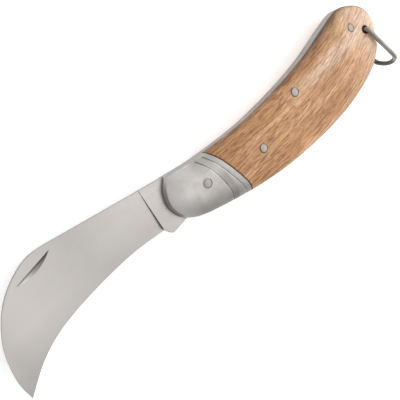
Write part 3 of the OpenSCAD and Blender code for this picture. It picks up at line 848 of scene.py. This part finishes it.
def nick_cutter():
    """A tilted disc, which leaves the nail nick a straight wall and a sloping rim."""
    r = (NICK_LENGTH * NICK_LENGTH / 4 + NICK_DEPTH * NICK_DEPTH) / (2 * NICK_DEPTH)
    cutter = disc("nick", (0, r - NICK_DEPTH), r, -6, 0, NICK_SIDES)
    place = Matrix.Translation(Vector((*NICK_AT, FACE_Z + PLATE_T / 2 - NICK_SINK)) * MM)
    aim = Matrix.Rotation(math.radians(180 + NICK_TURN), 4, "Z")
    slide = Matrix.Translation((NICK_LENGTH / 2 * MM, 0, 0))
    tilt = Matrix.Rotation(math.radians(NICK_TILT), 4, "X")
    cutter.data.transform(place @ aim @ slide @ tilt)
    return cutter


def blade_piece():
    top = (PLUNGE_X, spine_y(PLUNGE_X))
    body = prism("blade_body", plate_outline(top), FACE_Z - PLATE_T / 2, FACE_Z + PLATE_T / 2)
    boolean(body, ground_blade(top), "UNION")
    hole = disc("pivot_hole", PIVOT, PIN_R + PIVOT_CLEAR, FACE_Z - 3, FACE_Z + 3, PIVOT_SIDES)
    boolean(body, hole, "DIFFERENCE")
    boolean(body, nick_cutter(), "DIFFERENCE")
    return body


def spring_piece():
    """The back spring: a strip that bears on the tang, a boss, and a tail that fills the butt."""
    low, high = FACE_Z - SPRING_T / 2, FACE_Z + SPRING_T / 2
    up = np.array((math.sin(math.radians(SPRING_TILT)), math.cos(math.radians(SPRING_TILT))))
    along = np.array((up[1], -up[0]))
    seat = turned(KICK, FOLD) + KICK_R * up
    ledge, front = END_RIVET[1] - LEDGE_BELOW, END_RIVET[0] - TAIL_AHEAD

    def under(x, more):
        return (x, back_y(x) - SPRING_DEPTH - more)

    lower = [(front, ledge), np.array(under(front, 2.6)) - (0.3, 0), under(front - 3, 1.4),
             under(0.72 * REACH, 0.98), under(SPRING_RIVET[0] + 9, 1.4),
             (SPRING_RIVET[0], SPRING_RIVET[1] - 3.4), (SPRING_RIVET[0] - 11, seat[1] - 1.4),
             seat + SEAT_HALF * along]
    upper = [p for p in back_line if -STOP < p[0] <= FAN_BUTT]
    strip = [(-STOP, flat_y(-STOP, OPEN_NORMAL)), (-STOP, back_y(-STOP))] + upper
    strip += [(front + 3, ledge + 3)] + list(smooth(lower, SPRING_STEPS))
    strip += [seat - SEAT_HALF * along, (TANG_R + 1, flat_y(TANG_R + 1, OPEN_NORMAL))]
    body = prism("spring_strip", strip, low, high)

    # The tail, with room for the tip of the folded blade
    tail_r = float(np.linalg.norm(TIP)) + TIP_CLEAR
    foot = BAIL_HOLE[1] - FOOT_BELOW
    end = [(front, ledge), (front + 1.5, ledge + 3), (FAN_BUTT, back_y(FAN_BUTT))]
    end += [p for p in butt_rim if p[1] > foot]
    end += [(REACH - 8, foot), (tail_r * 0.99, foot), (tail_r * 0.99, ledge)]
    tail = prism("spring_tail", end, low, high)
    sweep = np.degrees(np.linspace(-0.25, math.asin(ledge / tail_r), 60))
    room = [(0, ledge), (0, ledge - 30)] + [polar(tail_r, a) for a in sweep]
    boolean(tail, prism("tip_room", room, low - PAST, high + PAST), "DIFFERENCE")
    boolean(body, tail, "UNION")
    holes = [(SPRING_RIVET, PIN_R), (END_RIVET, PIN_R), (BAIL_HOLE, BAIL_BORE)]
    bores(body, holes, low - PAST, high + PAST)
    return body


dress(blade_piece(), BLADE_STEEL, "blade", "blade", 7)
dress(spring_piece(), SPRING_STEEL, "handle", "backspring", 20)

# The pins and the bail are the CAD's own
for name in ("pivot_pin", "spring_rivet", "end_rivet", "mark_front_rivet", "pile_front_rivet"):
    dress(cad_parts[name], RIVET_STEEL, angle=35)
dress(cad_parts["bail"], BAIL_WIRE, angle=35)

# Floor. It glows a little, which keeps the shadow faint.
FLOOR_HALF, FLOOR_GLOW = 1.5, 0.42
corners = [(x * FLOOR_HALF, y * FLOOR_HALF, 0) for x, y in ((-1, -1), (1, -1), (1, 1), (-1, 1))]
floor = new_object("floor", corners, [(0, 1, 2, 3)])
floor_mat, floor_shader = new_material("floor_paper")
floor_shader.inputs["Base Color"].default_value = (0.9, 0.9, 0.9, 1)
floor_shader.inputs["Roughness"].default_value = 0.9
floor_shader.inputs["Specular IOR Level"].default_value = 0.1
floor_shader.inputs["Emission Color"].default_value = (1, 1, 1, 1)
floor_shader.inputs["Emission Strength"].default_value = FLOOR_GLOW
floor.data.materials.append(floor_mat)

# World: a soft grey studio, brightest to one side of the zenith
world = bpy.data.worlds.new("studio")
scene.world = world
world.use_nodes = True
facing = node(world, "VectorMath", operation="DOT_PRODUCT")
facing.inputs[1].default_value = Vector((0.5, 0.22, 0.84)).normalized()
link(world, node(world, "TexCoord").outputs["Generated"], facing.inputs[0])
greys = [(at, (g, g, g * 1.01)) for at, g in ((0.0, 0.36), (0.3, 0.62), (0.75, 0.74), (1.0, 1.2))]
background = world.node_tree.nodes["Background"]
background.inputs["Strength"].default_value = 1.0
link(world, ramp(world, facing.outputs["Value"], greys), background.inputs["Color"])

# Key light
key = bpy.data.objects.new("key", bpy.data.lights.new("key", "AREA"))
scene.collection.objects.link(key)
key.data.shape = "DISK"
key.data.size = 1.3
key.data.energy = 4.4
key_way = Vector((0.72, -0.35, 0.60)).normalized()
key.location = key_way * 0.9
key.rotation_euler = key_way.to_track_quat("Z", "Y").to_euler()

scene.view_settings.view_transform = "Standard"
scene.view_settings.look = "None"
